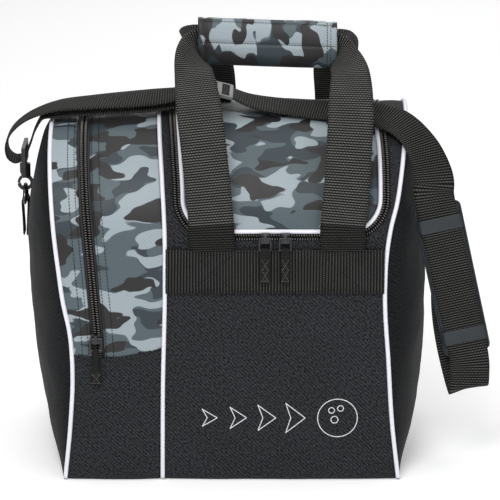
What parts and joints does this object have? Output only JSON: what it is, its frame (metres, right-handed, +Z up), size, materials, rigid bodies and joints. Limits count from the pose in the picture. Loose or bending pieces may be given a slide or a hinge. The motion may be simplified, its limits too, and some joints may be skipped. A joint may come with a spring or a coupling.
{
  "type": "bowling ball bag",
  "caption": "Soft bag for one bowling ball with a shoe compartment on its side, a zipped hinged lid, two webbing handles joined by a wrap, and a padded shoulder strap.",
  "frame": {"origin": "centre of the base panel's underside, on the surface that the bag stands on", "axes": "+X to the right across the front, +Y from the front to the back, +Z up"},
  "size_m": [0.493, 0.2606, 0.449],
  "materials": {
    "body_fabric": "woven coated polyester",
    "printed_fabric": "printed coated polyester",
    "piping": "smooth coated cord",
    "webbing": "ribbed webbing",
    "zipper_tape": "knitted tape",
    "zipper_coil": "nylon coil",
    "slider_metal": "black enamel",
    "ring_metal": "black plated",
    "moulded_plastic": "satin",
    "pad_vinyl": "soft vinyl",
    "foam": "closed-cell foam",
    "board": "hard board",
    "lining": "thin lining",
    "fastener_tape": "hook-and-loop"
  },
  "bodies": {
    "root": {"base_panel": "body_fabric", "base_board": "board", "divider_wall": "lining", "front_foam_liner": "foam", "back_foam_liner": "foam", "ball_cup": "foam", "front_panel": "body_fabric", "back_panel": "body_fabric", "left_top_strip": "body_fabric", "right_top_strip": "body_fabric", "shoe_upper_panel": "printed_fabric", "shoe_lower_front": "body_fabric", "shoe_lower_back": "body_fabric", "left_side_gusset": "body_fabric", "right_side_gusset": "body_fabric", "left_piping": "piping", "middle_piping": "piping", "right_piping": "piping", "step_panel": "body_fabric", "main_zipper_tape": "zipper_tape", "main_zipper_coil": "zipper_coil", "shoe_zipper_tape": "zipper_tape", "shoe_zipper_coil": "zipper_coil", "front_band": "webbing", "front_handle_ends": "webbing", "back_band": "webbing", "back_handle_ends": "webbing", "left_ring_tab": "webbing", "left_snap_hook": "moulded_plastic", "right_ring_tab": "webbing", "right_snap_hook": "moulded_plastic", "shoulder_strap": "webbing", "strap_adjuster": "moulded_plastic"},
    "lid": {"lid_panel": "printed_fabric", "lid_piping": "piping", "lid_lining": "lining"},
    "front_handle": {"front_handle_webbing": "webbing"},
    "back_handle": {"back_handle_webbing": "webbing", "wrap_sleeve": "printed_fabric", "wrap_loop_strip": "fastener_tape"},
    "wrap_flap": {"wrap_flap": "printed_fabric", "wrap_hook_strip": "fastener_tape"},
    "left_slider": {"left_slider": "slider_metal"},
    "left_pull": {"left_pull_loop": "slider_metal", "left_pull_tail": "zipper_tape"},
    "right_slider": {"right_slider": "slider_metal"},
    "right_pull": {"right_pull_loop": "slider_metal", "right_pull_tail": "zipper_tape"},
    "shoe_slider": {"shoe_slider": "slider_metal"},
    "shoe_pull": {"shoe_pull_loop": "slider_metal", "shoe_pull_tail": "zipper_tape"},
    "left_ring": {"left_d_ring": "ring_metal"},
    "right_ring": {"right_d_ring": "ring_metal"},
    "left_gate": {"left_hook_gate": "moulded_plastic"},
    "right_gate": {"right_hook_gate": "moulded_plastic"},
    "left_frame": {"left_strap_frame": "moulded_plastic"},
    "right_frame": {"right_strap_frame": "moulded_plastic"},
    "pad": {"shoulder_pad": "pad_vinyl", "upper_pad_band": "pad_vinyl", "lower_pad_band": "pad_vinyl"}
  },
  "joints": [
    {"name": "lid_open", "type": "hinge", "parent": "root", "child": "lid", "pos_m": [0.0485, 0.1085, 0.3], "axis": [-1, 0, 0], "range_deg": [0, 130], "deforming": ["shoulder_strap", "strap_adjuster", "front_handle_webbing", "back_handle_webbing"]},
    {"name": "back_handle_swing", "type": "hinge", "parent": "root", "child": "back_handle", "pos_m": [0.0485, 0.1085, 0.3], "axis": [-1, 0, 0], "range_deg": [0, 130]},
    {"name": "front_handle_swing", "type": "hinge", "parent": "root", "child": "front_handle", "pos_m": [0.0455, -0.1265, 0.2425], "axis": [1, 0, 0], "range_deg": [0, 150]},
    {"name": "wrap_flap_open", "type": "hinge", "parent": "back_handle", "child": "wrap_flap", "pos_m": [0.036, -0.0165, 0.4055], "axis": [1, 0, 0], "range_deg": [0, 100]},
    {"name": "left_slider_travel", "type": "slide", "parent": "root", "child": "left_slider", "axis": [-1, 0, 0], "range_m": [0, 0.022]},
    {"name": "right_slider_travel", "type": "slide", "parent": "root", "child": "right_slider", "axis": [1, 0, 0], "range_m": [0, 0.026]},
    {"name": "shoe_slider_travel", "type": "slide", "parent": "root", "child": "shoe_slider", "axis": [-0.0527, 0, 0.9986], "range_m": [0, 0.072]},
    {"name": "left_pull_swing", "type": "hinge", "parent": "left_slider", "child": "left_pull", "pos_m": [0.033, -0.1288, 0.2535], "axis": [-1, 0, 0], "range_deg": [0, 120]},
    {"name": "right_pull_swing", "type": "hinge", "parent": "right_slider", "child": "right_pull", "pos_m": [0.053, -0.1288, 0.2535], "axis": [-1, 0, 0], "range_deg": [0, 120]},
    {"name": "shoe_pull_swing", "type": "hinge", "parent": "shoe_slider", "child": "shoe_pull", "pos_m": [-0.136, -0.1296, 0.15], "axis": [-1, 0, 0], "range_deg": [0, 120]},
    {"name": "left_ring_play", "type": "hinge", "parent": "root", "child": "left_ring", "pos_m": [-0.2125, 0, 0.262], "axis": [0, 1, 0], "range_deg": [-2.5, 2.5]},
    {"name": "right_ring_play", "type": "hinge", "parent": "root", "child": "right_ring", "pos_m": [0.2, 0, 0.28], "axis": [0, 1, 0], "range_deg": [-2.5, 2.5]},
    {"name": "left_gate_press", "type": "hinge", "parent": "root", "child": "left_gate", "pos_m": [-0.21674, 0, 0.28476], "axis": [0, -1, 0], "range_deg": [0, 20], "stiffness_Nm_per_rad": 0.01},
    {"name": "right_gate_press", "type": "hinge", "parent": "root", "child": "right_gate", "pos_m": [0.20737, 0, 0.25806], "axis": [0, -1, 0], "range_deg": [0, 20], "stiffness_Nm_per_rad": 0.01},
    {"name": "left_frame_swivel", "type": "hinge", "parent": "root", "child": "left_frame", "pos_m": [-0.2125, 0, 0.302], "axis": [0, 0, 1], "range_deg": [-20, 20]},
    {"name": "right_frame_swivel", "type": "hinge", "parent": "root", "child": "right_frame", "pos_m": [0.20557, 0, 0.24039], "axis": [0.1392, 0, -0.9903], "range_deg": [-15, 15]},
    {"name": "pad_slide", "type": "slide", "parent": "root", "child": "pad", "axis": [0.2163, 0, -0.9763], "range_m": [-0.006, 0.02]}
  ],
  "couplings": [
    {"joint": "back_handle_swing", "follows": "lid_open", "ratio": 1},
    {"joint": "front_handle_swing", "follows": "lid_open", "ratio": 1.15}
  ]
}
